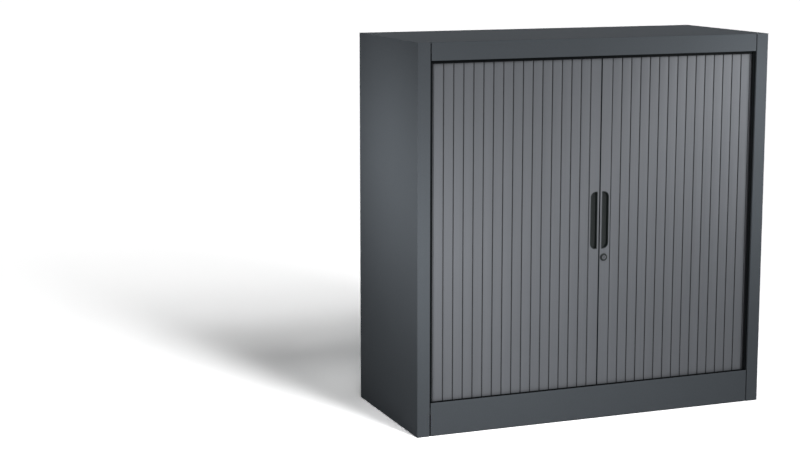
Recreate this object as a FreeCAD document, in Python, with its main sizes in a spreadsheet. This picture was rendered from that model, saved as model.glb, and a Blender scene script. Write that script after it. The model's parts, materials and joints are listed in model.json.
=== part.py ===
import FreeCAD, Part
import Sketcher
import math
import os
from types import SimpleNamespace
from FreeCAD import Placement, Rotation, Vector

# A steel cupboard whose front is closed by two curtains of upright slats. Each curtain runs in
# curved tracks along the front, round the front corner and back between the side panel and the
# inner side, then round the rear corner. Millimetres, Z up, X to the right, the front at -Y, the
# origin on the floor under the middle of the cupboard.

SIZES = {
    # outside, over everything
    "cabinet_width": 1000.0,
    "cabinet_height": 1000.0,
    "cabinet_depth": 420.0,
    # sheet steel and its bends, radius on the outer face
    "sheet": 1.0,
    "bend_radius": 2.0,
    # side panels: the front return is the post that shows beside the curtain
    "post_width": 34.5,
    "post_lip": 6.0,
    "rear_return": 20.0,
    "side_flange": 15.0,
    "flange_setback": 5.0,
    # the seam between the posts and the rail or plinth
    "front_seam": 2.4,
    # top panel with the rail folded down at its front
    "rail_height": 46.0,
    "rail_flange": 8.0,
    "top_rear_flange": 14.0,
    "stiffener_length": 880.0,
    "stiffener_depth": 20.0,
    "stiffener_crown": 40.0,
    "stiffener_flange": 15.0,
    # ceiling over the shelves, which carries the upper tracks
    "ceiling_drop": 28.0,
    "ceiling_flange": 24.0,
    # plinth and base
    "plinth_height": 87.0,
    "plinth_foot": 25.0,
    "tab_gap": 0.3,
    "base_level": 75.0,
    "base_flange": 20.0,
    "panel_gap": 0.5,
    # floor on rails over the base
    "floor_rise": 15.0,
    "floor_gap": 4.5,
    "floor_rail": 2.0,
    # curtain: how far its face stands behind the front, and its slats
    "curtain_setback": 12.0,
    "corner_radius": 38.8,
    "slat_pitch_wanted": 27.2,
    "slat_groove": 2.4,
    "slat_face": 4.5,
    "slat_crown": 0.8,
    "slat_back": 2.6,
    "slat_foot_gap": 0.5,
    "slat_head_gap": 2.0,
    # snap hinge between slats
    "bead_radius": 1.1,
    "hinge_play": 0.3,
    "socket_wall": 0.9,
    "web": 0.9,
    "leg": 1.1,
    "leg_gap": 0.9,
    # tracks
    "track_wall": 1.5,
    "track_height": 11.0,
    "groove_front": 5.2,
    "groove_back": 4.3,
    "track_gap": 0.5,
    "rear_run_length": 90.0,
    "end_plug_length": 12.0,
    "plug_play": 0.2,
    # leading profile of each curtain
    "profile_width": 31.0,
    "profile_depth": 14.5,
    "profile_wall": 1.5,
    "profile_face": 1.8,
    "profile_lip": 4.0,
    "profile_corner": 1.2,
    "profile_end_gap": 2.0,
    "seam_gap": 0.8,
    # glides that carry the profile in the tracks
    "glide_play": 0.3,
    "glide_plug": 12.0,
    "glide_tongue": 7.2,
    "glide_end": 1.0,
    # grips
    "grip_width": 20.0,
    "grip_height": 151.0,
    "grip_middle": 526.5,
    "grip_corner": 15.0,
    "grip_seam_edge": 6.0,
    "grip_rim": 1.5,
    "grip_rim_rise": 0.5,
    "grip_wall": 1.2,
    "grip_depth": 10.5,
    "grip_play": 0.3,
    # lock
    "lock_drop": 23.0,
    "lock_seam_edge": 13.5,
    "lock_ring_radius": 10.0,
    "lock_ring_rise": 2.0,
    "lock_ring_chamfer": 0.8,
    "lock_barrel_radius": 8.0,
    "lock_barrel_length": 7.0,
    "lock_nut_flats": 19.0,
    "lock_nut_thickness": 3.0,
    "plug_radius": 5.5,
    "plug_rise": 0.4,
    "key_slot_height": 7.0,
    "key_slot_width": 1.6,
    "key_slot_depth": 5.0,
    "stud_radius": 2.6,
    "lock_play": 0.3,
    # hook on the lock
    "hook_thickness": 2.5,
    "hook_arm": 7.0,
    "hook_reach": 27.0,
    "hook_nose": 8.0,
    "hook_nose_rise": 4.0,
    "hook_slot_play": 1.0,
    "hook_screw_radius": 4.0,
    "hook_screw_head": 2.2,
    "hook_screw_shank": 1.5,
    "hook_screw_length": 6.0,
    "strike_plate": 1.5,
    "strike_margin": 10.0,
    # inner sides and rear lining
    "lining_gap": 0.5,
    "inner_flange": 12.5,
    "slot_width": 12.0,
    "slot_height": 4.0,
    "slot_pitch": 25.0,
    "slot_start": 40.0,
    "slot_front_setback": 35.0,
    "slot_rear_setback": 15.0,
    "upper_shelf_drop": 165.0,
    # shelves
    "shelf_flange": 25.0,
    "shelf_hem": 12.0,
    "shelf_side_gap": 1.5,
    "shelf_end_gap": 3.0,
    "shelf_notch_gap": 2.0,
    "clip_thickness": 2.0,
    "clip_play": 0.2,
    "clip_ledge": 10.5,
    "clip_leg": 8.0,
    "clip_hook": 7.0,
    "clip_hook_thickness": 1.3,
    # levelling feet
    "foot_inset": 45.0,
    "foot_radius": 18.0,
    "foot_chamfer": 2.0,
    "foot_thickness": 8.0,
    "spindle_radius": 5.0,
    "spindle_top": 70.0,
    "spindle_play": 0.3,
    "key_socket_radius": 2.5,
    "key_socket_depth": 6.0,
    "sleeve_radius": 9.0,
    "sleeve_length": 30.0,
    "key_hole_radius": 7.0,
    "cap_hole_radius": 10.0,
    "cap_rim": 2.0,
    "cap_head": 1.5,
    "cap_skirt": 6.0,
    "cap_wall": 1.5,
    "cap_play": 0.2,
    # countersunk screws of the tracks
    "screw_head_radius": 3.2,
    "screw_head_depth": 1.2,
    "screw_radius": 1.6,
    "screw_length": 9.0,
    "screw_play": 0.1,
    "screw_inset": 60.0,
    # how far a cut runs past what it cuts
    "overrun": 2.0,
}

LOWER_SHELF_SHARE = 0.45  # the lower shelf's slot, as a share of the upper shelf's
PLANES = {"XY": 1, "YZ": 1, "XZ": -1}  # which way each plane's normal points along its axis

doc = FreeCAD.newDocument("roll_front_cabinet")
sheet = doc.addObject("Spreadsheet::Sheet", "Sizes")
for row, (name, value) in enumerate(SIZES.items(), start=1):
    sheet.set(f"A{row}", name)
    sheet.set(f"B{row}", str(value))
    sheet.setAlias(f"B{row}", name)
doc.recompute()


class Size:
    """A length with its value in millimetres and the formula that binds it to the sheet."""

    def __init__(self, value, formula):
        self.value = value
        self.formula = formula

    def __add__(self, other):
        other = as_size(other)
        return Size(self.value + other.value, f"({self.formula} + {other.formula})")

    def __sub__(self, other):
        other = as_size(other)
        return Size(self.value - other.value, f"({self.formula} - {other.formula})")

    def __mul__(self, factor):
        factor = as_size(factor)
        return Size(self.value * factor.value, f"{self.formula} * {factor.formula}")

    def __truediv__(self, factor):
        factor = as_size(factor)
        return Size(self.value / factor.value, f"{self.formula} / {factor.formula}")

    def __neg__(self):
        return Size(-self.value, f"(0 - {self.formula})")

    __radd__ = __add__
    __rmul__ = __mul__


def as_size(number):
    return number if isinstance(number, Size) else Size(number, f"({number!r})")


def other_leg(long_side, short_side):
    """The third side of a right-angled triangle."""
    value = math.sqrt(long_side.value**2 - short_side.value**2)
    return Size(value, f"sqrt(({long_side.formula})^2 - ({short_side.formula})^2)")


size = SimpleNamespace(**{name: Size(sheet.get(name), f"Sizes.{name}") for name in SIZES})
zero = as_size(0)


# Outlines: each edge arrives at its own point, from the point of the edge before it


def line(x, y):
    return SimpleNamespace(x=as_size(x), y=as_size(y), centre=None)


def arc(x, y, centre, radius, left):
    """An arc to (x, y) that turns left or right about its centre."""
    return SimpleNamespace(x=x, y=y, centre=centre, radius=radius, left=left)


def circle(x, y, radius):
    return [SimpleNamespace(x=x, y=y, centre=(x, y), radius=radius, left=None)]


def rectangle(x_low, x_high, y_low, y_high):
    return [line(x_low, y_low), line(x_high, y_low), line(x_high, y_high), line(x_low, y_high)]


def moved(outline, x, y, direction=1):
    """The outline with its own x axis along +X or -X, and its origin at (x, y)."""
    result = []
    for edge in outline:
        place = SimpleNamespace(x=x + direction * edge.x, y=y + edge.y, centre=None)
        if edge.centre:
            place.centre = (x + direction * edge.centre[0], y + edge.centre[1])
            place.radius = edge.radius
            place.left = edge.left if direction > 0 else not edge.left
        result.append(place)
    return result


def shifted(value, direction, amount):
    if direction == 0:
        return value
    return value + amount if direction > 0 else value - amount


def folded(path, side):
    """The section of a bent sheet. path is one face, and the sheet lies on its left (1) or right (-1)."""
    steps = []
    for here, there in zip(path, path[1:]):
        dx, dy = there[0].value - here[0].value, there[1].value - here[1].value
        steps.append(((dx > 0) - (dx < 0), 0) if abs(dx) > abs(dy) else (0, (dy > 0) - (dy < 0)))
    normals = [(-side * dy, side * dx) for dx, dy in steps]
    near, far = [line(*path[0])], []
    for point, (ax, ay), (bx, by), na, nb in zip(path[1:], steps, steps[1:], normals, normals[1:]):
        turns_left = ax * by - ay * bx > 0
        outside = turns_left == (side > 0)
        tight = size.bend_radius - size.sheet
        across = (shifted(point[0], na[0] + nb[0], size.sheet), shifted(point[1], na[1] + nb[1], size.sheet))
        for corner, radius, edges in (
            (point, size.bend_radius if outside else tight, near),
            (across, tight if outside else size.bend_radius, far),
        ):
            begin = (shifted(corner[0], -ax, radius), shifted(corner[1], -ay, radius))
            end = (shifted(corner[0], bx, radius), shifted(corner[1], by, radius))
            centre = (shifted(begin[0], bx, radius), shifted(begin[1], by, radius))
            if edges is near:
                edges += [line(*begin), arc(*end, centre, radius, turns_left)]
            else:
                edges += [arc(*begin, centre, radius, not turns_left), line(*end)]
    last, first = normals[-1], normals[0]
    near.append(line(*path[-1]))
    near.append(line(shifted(path[-1][0], last[0], size.sheet), shifted(path[-1][1], last[1], size.sheet)))
    start = line(shifted(path[0][0], first[0], size.sheet), shifted(path[0][1], first[1], size.sheet))
    return near + far[::-1] + [start]


# Bodies, sketches and their features


def bind(item, name, value):
    item.setExpression(name, value.formula)


def new_body(label):
    body = doc.addObject("PartDesign::Body", label)
    body.Label = label
    return body


def origin_feature(body, role):
    return next(feature for feature in body.Origin.OriginFeatures if feature.Role == role)


def draw(sketch, outline):
    """Adds a closed outline whose every point, arc and circle is bound to the sheet."""
    first = sketch.GeometryCount
    shapes, constraints, bound = [], [], []
    previous = outline[-1]
    ends = []
    for number, edge in enumerate(outline, start=first):
        point = Vector(edge.x.value, edge.y.value, 0)
        if edge.centre is None:
            shapes.append(Part.LineSegment(Vector(previous.x.value, previous.y.value, 0), point))
            ends.append((1, 2))
        else:
            cx, cy = edge.centre[0].value, edge.centre[1].value
            ring = Part.Circle(Vector(cx, cy, 0), Vector(0, 0, 1), edge.radius.value)
            if edge.left is None:
                shapes.append(ring)
                ends.append((3, 3))
            else:
                angles = [math.atan2(p.y.value - cy, p.x.value - cx) for p in (previous, edge)]
                low, high = angles if edge.left else angles[::-1]
                shapes.append(Part.ArcOfCircle(ring, low, high if high > low else high + math.tau))
                ends.append((1, 2) if edge.left else (2, 1))
            if edge.left is None:
                bound.append((("Radius", number, edge.radius.value), edge.radius))
            elif abs(edge.x.value - previous.x.value) > abs(edge.y.value - previous.y.value):
                bound.append((("DistanceY", -1, 1, number, 3, cy), edge.centre[1]))
            else:
                bound.append((("DistanceX", -1, 1, number, 3, cx), edge.centre[0]))
        bound.append((("DistanceX", -1, 1, number, ends[-1][1], edge.x.value), edge.x))
        bound.append((("DistanceY", -1, 1, number, ends[-1][1], edge.y.value), edge.y))
        previous = edge
    if len(outline) > 1:
        for number, (begin, _) in enumerate(ends):
            before = (number - 1) % len(ends)
            joined = (first + before, ends[before][1], first + number, begin)
            constraints.append(Sketcher.Constraint("Coincident", *joined))
    sketch.addGeometry(shapes, False)
    sketch.addConstraint(constraints)
    for values, length in bound:
        bind(sketch, f"Constraints[{sketch.addConstraint(Sketcher.Constraint(*values))}]", length)


def new_sketch(body, plane, level, outlines):
    sketch = body.newObject("Sketcher::SketchObject", f"{body.Label}_sketch")
    sketch.AttachmentSupport = [(origin_feature(body, f"{plane}_Plane"), "")]
    sketch.MapMode = "FlatFace"
    bind(sketch, "AttachmentOffset.Base.z", level if PLANES[plane] > 0 else -level)
    for outline in outlines:
        draw(sketch, outline)
    return sketch


cuts = []


def extrude(kind, body, plane, low, high, outlines):
    """Adds or cuts everything from low to high along the axis that the plane faces."""
    sketch = new_sketch(body, plane, low if PLANES[plane] > 0 else high, outlines)
    feature = body.newObject(f"PartDesign::{kind}", f"{body.Label}_{kind.lower()}")
    feature.Profile = sketch
    bind(feature, "Length", high - low)
    if kind == "Pocket":
        feature.Reversed = True
        cuts.append(feature)
    return feature


def pad(body, plane, low, high, *outlines):
    return extrude("Pad", body, plane, low, high, outlines)


def pocket(body, plane, low, high, *outlines):
    return extrude("Pocket", body, plane, low, high, outlines)


def revolve(label, outline):
    """A turned piece: the outline in the XZ plane, x being the radius, goes round the Z axis."""
    body = new_body(label)
    feature = body.newObject("PartDesign::Revolution", f"{label}_turned")
    feature.Profile = new_sketch(body, "XZ", zero, [outline])
    feature.ReferenceAxis = (origin_feature(body, "Z_Axis"), [""])
    feature.Angle = 360
    return body


def mirrored(source, label, normal, plane_at=zero):
    piece = doc.addObject("Part::Mirroring", label)
    piece.Label = label
    piece.Source = source
    piece.Normal = normal
    for axis, share in zip("xyz", normal):
        if share:
            bind(piece, f"Base.{axis}", plane_at)
    return piece


def group(label, sources):
    piece = doc.addObject("Part::Compound", label)
    piece.Label = label
    piece.Links = sources
    return piece


def placed(source, label, places, turn=None):
    """Separate copies of one piece, each at its own place given as (x, y, z)."""
    copies = []
    for number, place in enumerate(places, start=1):
        copy = doc.addObject("Part::Feature", f"{label}_{number}")
        copy.Shape = source.Shape.copy()
        copy.Placement = Placement(Vector(*(length.value for length in place)), turn or Rotation())
        for axis, length in zip("xyz", place):
            bind(copy, f"Placement.Base.{axis}", length)
        copies.append(copy)
    return group(label, copies)


X_AXIS, Y_AXIS, Z_AXIS = (1, 0, 0), (0, 1, 0), (0, 0, 1)

# Planes and levels that several pieces share

half_width = size.cabinet_width / 2
front = -size.cabinet_depth / 2
rear = size.cabinet_depth / 2
wall_inside = half_width - size.sheet
front_inside = front + size.sheet
top_underside = size.cabinet_height - size.sheet
post_edge = half_width - size.post_width
panel_end = post_edge - size.front_seam
base_top = size.base_level
ceiling_bottom = size.cabinet_height - size.ceiling_drop
middle_level = (base_top + ceiling_bottom) / 2
base_front = front + size.post_lip + size.panel_gap
back_front = rear - size.sheet * 2

# The line that the slats' hinges follow, seen from above
track_outside = size.groove_front + size.track_wall
track_inside = size.groove_back + size.track_wall
curtain_line = front + size.curtain_setback + size.slat_face
side_line = wall_inside - size.track_gap - track_outside
rear_line = back_front - size.track_gap - track_outside
bend_start = side_line - size.corner_radius
front_bend_y = curtain_line + size.corner_radius
rear_bend_y = rear_line - size.corner_radius
rear_end = bend_start - size.rear_run_length

# The flat slats share out what the two leading profiles leave
flat_run = bend_start * 2 - size.seam_gap - size.profile_width * 2
slat_count = round(flat_run.value / size.slat_pitch_wanted.value)
left_count = slat_count - slat_count // 2
right_count = slat_count // 2
pitch = flat_run / slat_count
left_pivot = pitch * left_count - bend_start
right_pivot = bend_start - pitch * right_count
seam = (left_pivot + right_pivot) / 2
slat_turn = 2 * math.asin(pitch.value / 2 / size.corner_radius.value)
tail_count = int(math.pi / 2 / slat_turn)

# Linings stand behind the tracks
lining_outside = side_line - track_inside - size.lining_gap
lining_face = lining_outside - size.sheet
lining_corner = size.corner_radius - track_inside - size.lining_gap
rear_lining_back = rear_line - track_inside - size.lining_gap
rear_lining_front = rear_lining_back - size.sheet
floor_top = base_top + size.floor_rise
profile_back = curtain_line - size.slat_face + size.profile_depth
floor_front = profile_back + size.floor_gap
slat_bottom = base_top + size.track_wall + size.slat_foot_gap
slat_top = ceiling_bottom - size.track_wall - size.slat_head_gap
profile_bottom = base_top + size.track_height + size.profile_end_gap
profile_top = ceiling_bottom - size.track_height - size.profile_end_gap


# Carcass


def side_panel():
    """The left side with its front post and rear return, and flanges at head and foot."""
    body = new_body("left_side_panel")
    lip_end = (-post_edge, front + size.post_lip)
    path = [
        lip_end, (-post_edge, front), (-half_width, front), (-half_width, rear),
        (size.rear_return - half_width, rear),
    ]
    pad(body, "XY", zero, top_underside, folded(path, -1))
    flange = rectangle(-wall_inside - size.sheet / 2, size.side_flange - half_width,
                       front + size.flange_setback, rear - size.flange_setback)
    pad(body, "XY", zero, size.sheet, flange)
    pad(body, "XY", top_underside - size.sheet, top_underside, flange)
    return body


def top_panel():
    """The top with the front rail and a rear flange folded down, and plain ends over the sides."""
    body = new_body("top_panel")
    rail_bottom = size.cabinet_height - size.rail_height
    path = [
        (front + size.rail_flange, rail_bottom), (front, rail_bottom), (front, size.cabinet_height),
        (rear, size.cabinet_height), (rear, size.cabinet_height - size.top_rear_flange),
    ]
    pad(body, "YZ", -panel_end, panel_end, folded(path, -1))
    for low, high in ((-half_width, -panel_end), (panel_end, half_width)):
        pad(body, "XY", top_underside, size.cabinet_height, rectangle(low, high, front, rear))
    return body


def top_stiffener():
    """A hat section welded under the top."""
    body = new_body("top_stiffener")
    crown = size.stiffener_crown / 2
    foot = crown + size.stiffener_flange
    low = top_underside - size.stiffener_depth
    path = [
        (-foot, top_underside), (-crown, top_underside), (-crown, low),
        (crown, low), (crown, top_underside), (foot, top_underside),
    ]
    pad(body, "YZ", -size.stiffener_length / 2, size.stiffener_length / 2, folded(path, -1))
    return body


def ceiling_panel():
    """The sheet over the shelves, with flanges turned up."""
    body = new_body("ceiling_panel")
    flange_top = ceiling_bottom + size.ceiling_flange
    path = [
        (base_front, flange_top), (base_front, ceiling_bottom),
        (back_front, ceiling_bottom), (back_front, flange_top),
    ]
    pad(body, "YZ", -wall_inside, wall_inside, folded(path, 1))
    pocket(body, "XY", ceiling_bottom - size.overrun, ceiling_bottom + size.sheet + size.overrun,
           *track_screw_holes())
    return body


def foot_places():
    """Where the four levelling feet stand, front left first."""
    x, y = half_width - size.foot_inset, rear - size.foot_inset
    return {"front_left": (-x, -y), "front_right": (x, -y), "rear_left": (-x, y), "rear_right": (x, y)}


def base_panel():
    """The sheet that the lower tracks lie on, with flanges turned down and holes for the key."""
    body = new_body("base_panel")
    flange_bottom = base_top - size.base_flange
    path = [
        (base_front, flange_bottom), (base_front, base_top), (back_front, base_top),
        (back_front, flange_bottom),
    ]
    pad(body, "YZ", -wall_inside, wall_inside, folded(path, -1))
    holes = [circle(x, y, size.key_hole_radius) for x, y in foot_places().values()]
    pocket(body, "XY", base_top - size.sheet - size.overrun, base_top + size.overrun,
           *holes, *track_screw_holes())
    return body


def plinth_panel():
    """The front of the base: a foot on the floor, the face, and a hem that lies back on the base."""
    body = new_body("plinth_panel")
    face = front + size.sheet
    hem = face + size.sheet
    tab = curtain_line - track_outside - size.tab_gap
    outline = [
        line(front + size.plinth_foot, zero), line(front + size.plinth_foot, size.sheet),
        line(face, size.sheet), line(face, base_top), line(tab, base_top), line(tab, base_top + size.sheet),
        line(hem, base_top + size.sheet), line(hem, size.plinth_height - size.sheet),
        arc(face, size.plinth_height, (face, size.plinth_height - size.sheet), size.sheet, True),
        arc(front, size.plinth_height - size.sheet, (face, size.plinth_height - size.sheet), size.sheet, True),
        line(front, size.bend_radius),
        arc(front + size.bend_radius, zero, (front + size.bend_radius, size.bend_radius),
            size.bend_radius, True),
    ]
    pad(body, "YZ", -panel_end, panel_end, outline)
    return body


def back_panel():
    """The back, which ends where the bends of the side panels' rear returns begin."""
    body = new_body("back_panel")
    half = half_width - size.bend_radius
    outline = rectangle(-half, half, size.sheet, top_underside - size.sheet)
    pad(body, "XZ", back_front, rear - size.sheet, outline)
    return body


def rear_lining():
    """The inner back, which hides the rear run of the curtains."""
    body = new_body("rear_lining")
    outline = rectangle(-bend_start, bend_start, base_top, ceiling_bottom)
    pad(body, "XZ", rear_lining_front, rear_lining_back, outline)
    return body


def rear_corner_strip():
    """A flat strip that joins the left inner side to the rear lining, across the corner."""
    body = new_body("left_corner_strip")
    outline = [
        line(-lining_outside, rear_bend_y), line(-lining_face, rear_bend_y),
        line(-bend_start, rear_lining_front), line(-bend_start, rear_lining_back),
    ]
    pad(body, "XY", base_top, ceiling_bottom, outline)
    return body


# The floor's front corners end on the same circle as its sides, clear of the curtains' bends
floor_corner = bend_start + other_leg(lining_corner - size.sheet, floor_front - front_bend_y)


def floor_panel():
    """The floor of the cupboard, a flat sheet on rails with holes over the levelling feet."""
    body = new_body("floor_panel")
    outline = [
        line(-floor_corner, floor_front), line(floor_corner, floor_front),
        line(lining_face, front_bend_y), line(lining_face, rear_bend_y),
        line(bend_start, rear_lining_front), line(-bend_start, rear_lining_front),
        line(-lining_face, rear_bend_y), line(-lining_face, front_bend_y),
    ]
    holes = [circle(x, y, size.cap_hole_radius) for x, y in foot_places().values()]
    pad(body, "XY", floor_top - size.sheet, floor_top, outline, *holes)
    return body


def floor_rails():
    """Flat bars on edge between the base and the floor, one along each side."""
    bar = size.floor_rail
    outlines = {
        "front_rail": rectangle(-floor_corner, floor_corner, floor_front, floor_front + bar),
        "rear_rail": rectangle(-bend_start, bend_start, rear_lining_front - bar, rear_lining_front),
        "left_rail": rectangle(-lining_face, bar - lining_face, front_bend_y, rear_bend_y),
        "right_rail": rectangle(lining_face - bar, lining_face, front_bend_y, rear_bend_y),
    }
    rails = []
    for label, outline in outlines.items():
        rails.append(new_body(label))
        pad(rails[-1], "XY", base_top, floor_top - size.sheet, outline)
    return group("floor_rails", rails)


slot_rows = int((ceiling_bottom - floor_top - size.slot_start * 2).value / size.slot_pitch.value) + 1
slot_columns = (front_bend_y + size.slot_front_setback, rear_bend_y - size.slot_rear_setback)


def slot_level(number):
    return floor_top + size.slot_start + size.slot_pitch * number


# The slot that carries each shelf, counted from below
upper_slot = int((ceiling_bottom - size.upper_shelf_drop - slot_level(0)).value / size.slot_pitch.value)
shelf_slots = {"lower_shelf": round(upper_slot * LOWER_SHELF_SHARE), "upper_shelf": upper_slot}


def inner_side():
    """The left inner wall: a front flange and two columns of slots for the shelf clips."""
    body = new_body("left_inner_side")
    bend, tight = size.bend_radius, size.bend_radius - size.sheet
    tip, bend_end, bend_x = size.inner_flange - lining_outside, front_bend_y + bend, bend - lining_outside
    flanged = [
        line(tip, front_bend_y), line(bend_x, front_bend_y),
        arc(-lining_outside, bend_end, (bend_x, bend_end), bend, False),
        line(-lining_outside, rear_bend_y), line(-lining_face, rear_bend_y), line(-lining_face, bend_end),
        arc(bend_x, front_bend_y + size.sheet, (bend_x, bend_end), tight, True),
        line(tip, front_bend_y + size.sheet),
    ]
    plain = rectangle(-lining_outside, -lining_face, bend_end, rear_bend_y)
    split = floor_top + size.panel_gap
    pad(body, "XY", split, ceiling_bottom, flanged)
    pad(body, "XY", base_top, split + size.panel_gap, plain)
    slots = [
        rectangle(column - size.slot_width / 2, column + size.slot_width / 2,
                  slot_level(0) - size.slot_height / 2, slot_level(0) + size.slot_height / 2)
        for column in slot_columns
    ]
    cut = pocket(body, "YZ", -lining_outside - size.overrun, size.overrun - lining_face, *slots)
    rows = body.newObject("PartDesign::LinearPattern", "slot_rows")
    rows.Originals = [cut]
    rows.Direction = (origin_feature(body, "Z_Axis"), [""])
    bind(rows, "Length", size.slot_pitch * (slot_rows - 1))
    rows.Occurrences = slot_rows
    body.Tip = rows
    cuts.append(rows)
    return body


# Tracks


def track_band(side, start, end, outward, inward):
    """A strip along the track, seen from above, between two distances from the hinge line."""
    outer = size.corner_radius + outward
    inner = size.corner_radius - inward
    bend_x = side * bend_start
    left = side > 0
    front_centre, rear_centre = (bend_x, front_bend_y), (bend_x, rear_bend_y)
    return [
        line(start, curtain_line - outward),
        line(bend_x, curtain_line - outward),
        arc(bend_x + side * outer, front_bend_y, front_centre, outer, left),
        line(bend_x + side * outer, rear_bend_y),
        arc(bend_x, rear_line + outward, rear_centre, outer, left),
        line(side * end, rear_line + outward),
        line(side * end, rear_line - inward),
        line(bend_x, rear_line - inward),
        arc(bend_x + side * inner, rear_bend_y, rear_centre, inner, not left),
        line(bend_x + side * inner, front_bend_y),
        arc(bend_x, curtain_line + inward, front_centre, inner, not left),
        line(start, curtain_line + inward),
    ]


def track_screw_holes():
    """Where the screws of the tracks pass through the base or the ceiling."""
    radius = size.screw_radius + size.screw_play
    return [circle(x, y, radius) for side in (-1, 1) for x, y in screw_places(side)]


def screw_places(side):
    """One screw near the seam, one behind the front corner and one before the rear corner."""
    x_side = side * side_line
    return [
        (side * (bend_start - size.screw_inset), curtain_line),
        (x_side, front_bend_y + size.screw_inset),
        (x_side, rear_bend_y - size.screw_inset),
    ]


def lower_track(side, label):
    """A channel that holds the slats' feet, open at the top and drilled for countersunk screws."""
    body = new_body(label)
    floor = base_top + size.track_wall
    rim = base_top + size.track_height
    pad(body, "XY", base_top, rim, track_band(side, seam, rear_end, track_outside, track_inside))
    groove = track_band(side, seam - side * size.overrun, rear_end - size.overrun,
                        size.groove_front, size.groove_back)
    pocket(body, "XY", floor, rim + size.overrun, groove)
    sink = floor - size.screw_head_depth
    heads = [circle(x, y, size.screw_head_radius + size.screw_play) for x, y in screw_places(side)]
    pocket(body, "XY", sink, floor, *heads)
    shanks = [circle(x, y, size.screw_radius + size.screw_play) for x, y in screw_places(side)]
    pocket(body, "XY", base_top - size.overrun, sink, *shanks)
    return body


def track_screw():
    """A flat-headed screw, point down, its head's top at the origin."""
    r, head = size.screw_radius, size.screw_head_radius
    return revolve("track_screw", [
        line(zero, -size.screw_length), line(r, -size.screw_length + r), line(r, -size.screw_head_depth),
        line(head, -size.screw_head_depth), line(head, zero), line(zero, zero),
    ])


def end_plug(side, label):
    """A plug that closes the rear end of a lower groove."""
    body = new_body(label)
    inner, outer = side * rear_end, side * (rear_end + size.end_plug_length)
    low, high = (inner, outer) if side > 0 else (outer, inner)
    outline = rectangle(low, high, rear_line - size.groove_back + size.plug_play,
                        rear_line + size.groove_front - size.plug_play)
    pad(body, "XY", base_top + size.track_wall, base_top + size.track_height, outline)
    return body


# Curtain slats: each has a bead along its tail edge and a socket along the other, and the next
# slat's bead turns in that socket, so that the curtain goes round a corner but not the other way

socket_inside = size.bead_radius + size.hinge_play
socket_outside = socket_inside + size.socket_wall
leg_near = socket_outside + size.leg_gap
groove_half = size.slat_groove / 2
web_half = size.web / 2
web_swing = math.asin(web_half.value / socket_inside.value)
hinge_spare = math.radians(3)
open_front = -(web_swing + hinge_spare)
open_back = slat_turn + web_swing + hinge_spare


def on_circle(centre_x, radius, angle):
    return centre_x + radius * math.cos(angle), radius * math.sin(angle)


def bead_edges():
    """The bead and its web, drawn from the web's back to its front. The hinge is at the origin."""
    root = other_leg(size.bead_radius, web_half)
    return [
        line(leg_near, web_half), line(root, web_half),
        arc(root, -web_half, (zero, zero), size.bead_radius, True), line(leg_near, -web_half),
    ]


def slat():
    """One slat, upright, its tail hinge on the origin and its face towards -Y."""
    body = new_body("slat")
    edge = size.slat_crown - size.slat_face
    half_face = pitch / 2 - groove_half
    crown_radius = (half_face * half_face / size.slat_crown + size.slat_crown) / 2
    crown_centre = (pitch / 2, crown_radius - size.slat_face)
    leg_far = leg_near + size.leg
    outline = [
        line(groove_half, edge),
        arc(pitch - groove_half, edge, crown_centre, crown_radius, True),
        line(pitch - groove_half, -other_leg(socket_outside, groove_half)),
        arc(*on_circle(pitch, socket_outside, open_front), (pitch, zero), socket_outside, True),
        line(*on_circle(pitch, socket_inside, open_front)),
        arc(*on_circle(pitch, socket_inside, open_back), (pitch, zero), socket_inside, False),
        line(*on_circle(pitch, socket_outside, open_back)),
        arc(pitch - socket_outside, zero, (pitch, zero), socket_outside, True),
        line(pitch - socket_outside, -size.slat_back),
        line(leg_far, -size.slat_back),
        line(leg_far, web_half),
        *bead_edges()[1:],
        line(leg_near, -size.slat_back),
        line(groove_half, -size.slat_back),
    ]
    pad(body, "XY", slat_bottom, slat_top, outline)
    return body


def curtain(label, slat_shape, places):
    """Separate slats at (x, y, turn about Z) from the sheet's sizes."""
    piece = doc.addObject("Part::Feature", label)
    piece.Label = label
    copies = []
    for x, y, turn in places:
        copy = slat_shape.copy()
        copy.Placement = Placement(Vector(x, y, 0), Rotation(Vector(*Z_AXIS), math.degrees(turn)))
        copies.append(copy)
    piece.Shape = Part.makeCompound(copies)
    piece.Placement = Placement()
    return piece


def tail_places():
    """Slats on the front left corner: chords of the hinge line, the first next to the flat ones."""
    radius, places = size.corner_radius.value, []
    for number in range(1, tail_count + 1):
        angle = number * slat_turn
        x = -bend_start.value - radius * math.sin(angle)
        y = front_bend_y.value - radius * math.cos(angle)
        places.append((x, y, slat_turn / 2 - angle))
    return places


# Leading profiles, with everything that rides on them


def profile_section():
    """A channel open at the back. Its slat-side edge carries the bead of the last hinge."""
    face, back = -size.slat_face, size.profile_depth - size.slat_face
    inside = face + size.profile_face
    wall, corner, width = size.profile_wall, size.profile_corner, size.profile_width
    near, far = leg_near + wall, width - wall
    lip = back - wall
    return [
        line(width - corner, face),
        arc(width, face + corner, (width - corner, face + corner), corner, True),
        line(width, back), line(far - size.profile_lip, back), line(far - size.profile_lip, lip),
        line(far, lip), line(far, inside), line(near, inside), line(near, lip),
        line(near + size.profile_lip, lip), line(near + size.profile_lip, back), line(leg_near, back),
        *bead_edges(),
        line(leg_near, inside), line(groove_half, inside), line(groove_half, face + corner),
        arc(groove_half + corner, face, (groove_half + corner, face + corner), corner, True),
    ]


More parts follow.
